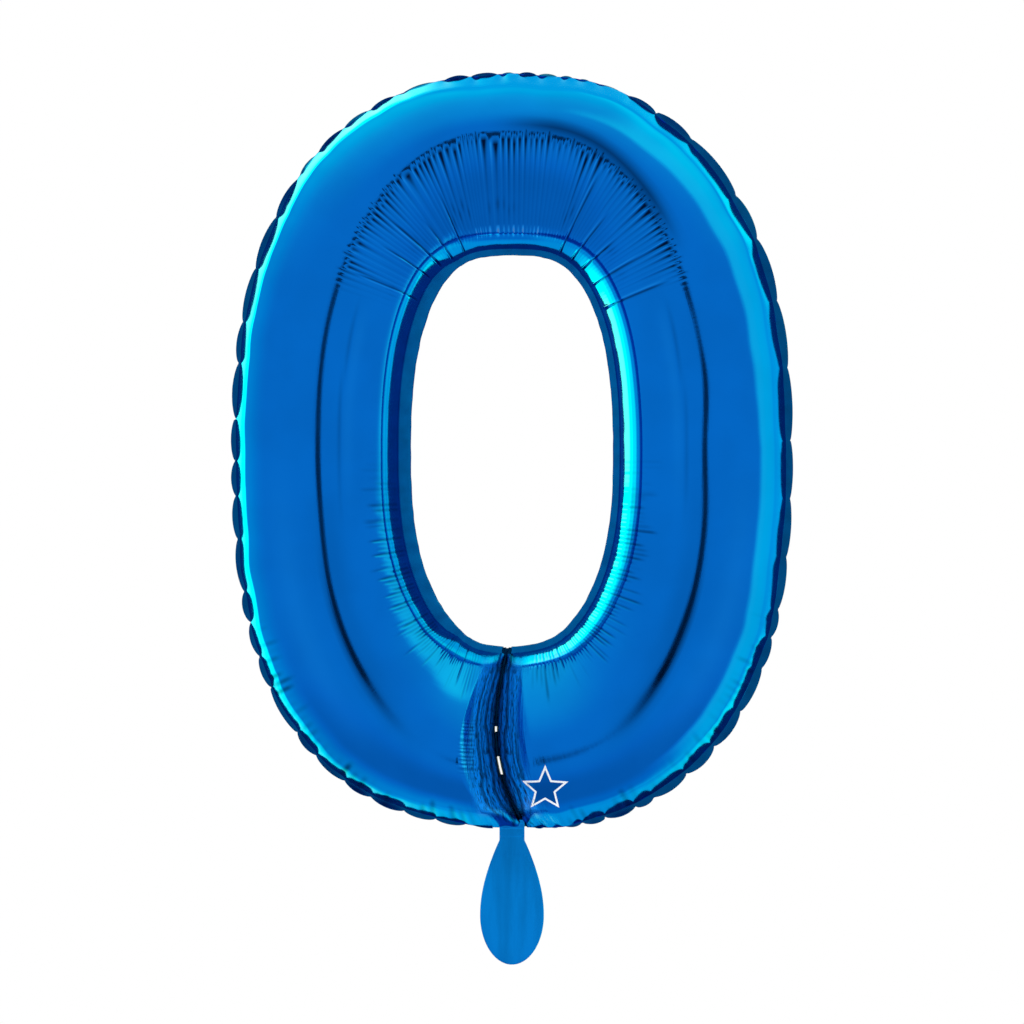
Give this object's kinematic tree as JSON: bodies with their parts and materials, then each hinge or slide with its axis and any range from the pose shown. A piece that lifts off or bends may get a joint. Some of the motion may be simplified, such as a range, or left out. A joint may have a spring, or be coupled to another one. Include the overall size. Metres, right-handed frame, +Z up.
{
  "type": "foil number balloon",
  "caption": "Blown-up foil balloon shaped as the number zero, a slit ring of two sealed metallised films, with a valve in its neck and a flat tail that folds, twists and opens.",
  "frame": {"origin": "root of the neck, where the ring's bottom edge meets it, midway between the two films", "axes": "+Z up along the ring's height, away from the tail; +X to the right as seen from the front; the front faces -Y"},
  "size_m": [0.6424, 0.175, 1.0209],
  "materials": {
    "foil_film": "polished",
    "sealed_foil": "gloss",
    "tail_film": "satin",
    "valve_film": "gloss",
    "release_ink": "matte"
  },
  "bodies": {
    "balloon": {"front_film": "foil_film", "back_film": "foil_film", "outer_seam": "sealed_foil", "inner_seam": "sealed_foil", "right_end_seam": "sealed_foil", "left_end_seam": "sealed_foil", "join_weld_lower": "sealed_foil", "join_weld_middle": "sealed_foil", "join_weld_upper": "sealed_foil", "valve_front_film": "valve_film", "valve_back_film": "valve_film", "valve_left_seal": "valve_film", "valve_right_seal": "valve_film", "valve_ink_patch": "release_ink", "throat_front_film": "foil_film", "throat_back_film": "foil_film", "neck_cross_seal_front": "sealed_foil", "neck_cross_seal_back": "sealed_foil"},
    "neck": {"neck_front_film": "tail_film", "neck_back_film": "tail_film", "neck_left_seal": "tail_film", "neck_right_seal": "tail_film"},
    "tail": {"tail_front_film": "tail_film", "tail_back_film": "tail_film", "tail_left_seal": "tail_film", "tail_right_seal": "tail_film"},
    "front_leaf": {"front_leaf": "tail_film"},
    "back_leaf": {"back_leaf": "tail_film"}
  },
  "joints": [
    {"name": "neck_fold", "type": "hinge", "parent": "balloon", "child": "neck", "pos_m": [0, 0, -0.002], "axis": [1, 0, 0], "range_deg": [-80, 80]},
    {"name": "tail_twist", "type": "hinge", "parent": "neck", "child": "tail", "pos_m": [0, 0, -0.0145], "axis": [0, 0, 1], "range_deg": [-60, 60]},
    {"name": "front_leaf_peel", "type": "hinge", "parent": "tail", "child": "front_leaf", "pos_m": [0, -0.00045, -0.04575], "axis": [-1, 0, 0], "range_deg": [0, 40]},
    {"name": "back_leaf_peel", "type": "hinge", "parent": "tail", "child": "back_leaf", "pos_m": [0, 0.00045, -0.04575], "axis": [1, 0, 0], "range_deg": [0, 40]}
  ]
}
